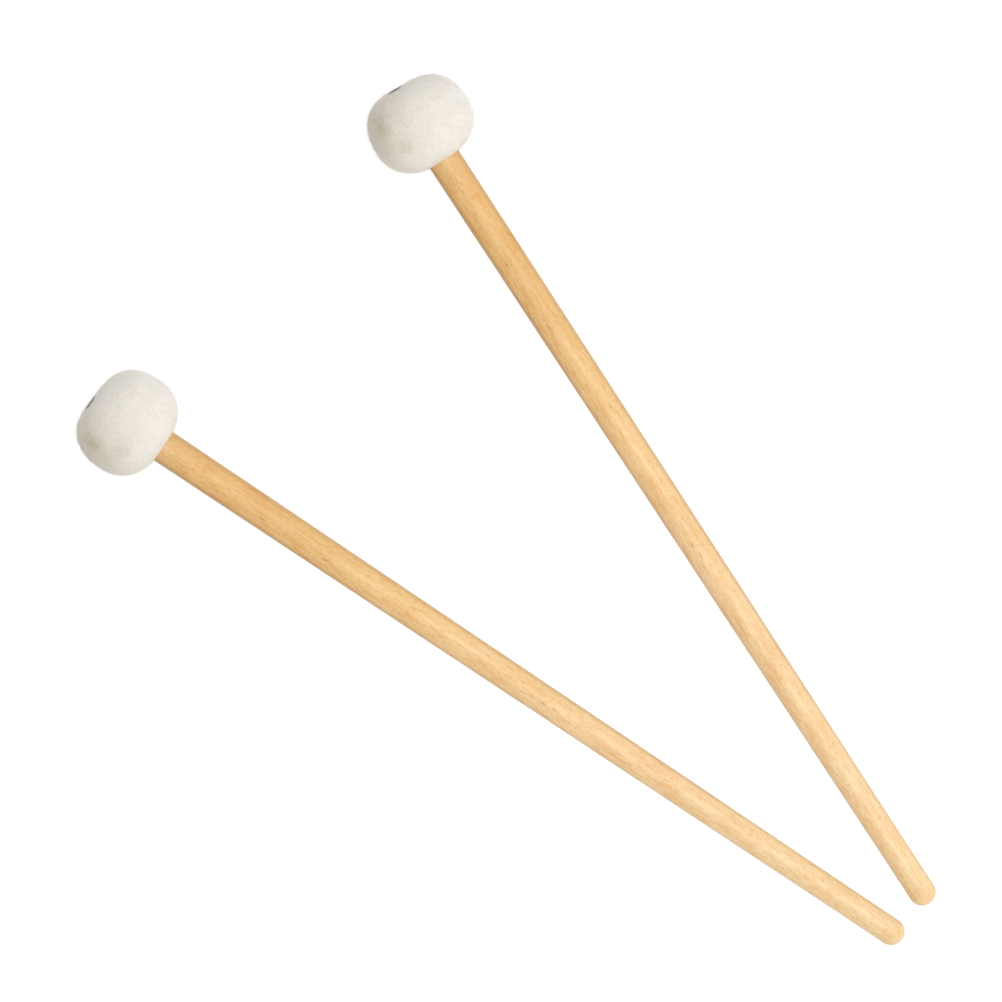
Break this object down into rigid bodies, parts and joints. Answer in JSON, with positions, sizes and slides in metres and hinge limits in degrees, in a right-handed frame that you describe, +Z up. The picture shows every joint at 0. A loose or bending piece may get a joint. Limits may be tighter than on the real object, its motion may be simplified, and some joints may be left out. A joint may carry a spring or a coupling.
{
  "type": "timpani mallet pair",
  "caption": "Matching timpani mallets with soft white felt heads on tapered beech handles, laid in a V.",
  "frame": {"origin": "on the surface the mallets lie on, under the middle of the pair", "axes": "+X along the middle of the V towards the heads, +Y across the pair, +Z up from the surface"},
  "size_m": [0.3658, 0.198, 0.0401],
  "materials": {
    "beech_handle": "clear satin lacquer over turned beech",
    "core_wood": "plain turned hardwood",
    "liner_felt": "firm pressed wool felt",
    "cover_felt": "soft off-white wool felt",
    "washer_steel": "dull darkened steel",
    "screw_steel": "dull darkened steel"
  },
  "bodies": {
    "mallet_a": {"handle_a": "beech_handle", "head_core_a": "core_wood", "inner_felt_a": "liner_felt", "felt_cover_a": "cover_felt", "washer_a": "washer_steel", "screw_a": "screw_steel"},
    "mallet_b": {"handle_b": "beech_handle", "head_core_b": "core_wood", "inner_felt_b": "liner_felt", "felt_cover_b": "cover_felt", "washer_b": "washer_steel", "screw_b": "screw_steel"}
  },
  "joints": [
    {"name": "mallet_b_lift", "type": "slide", "parent": "mallet_a", "child": "mallet_b", "axis": [0, 0, 1], "range_m": [0, 0.15]}
  ]
}
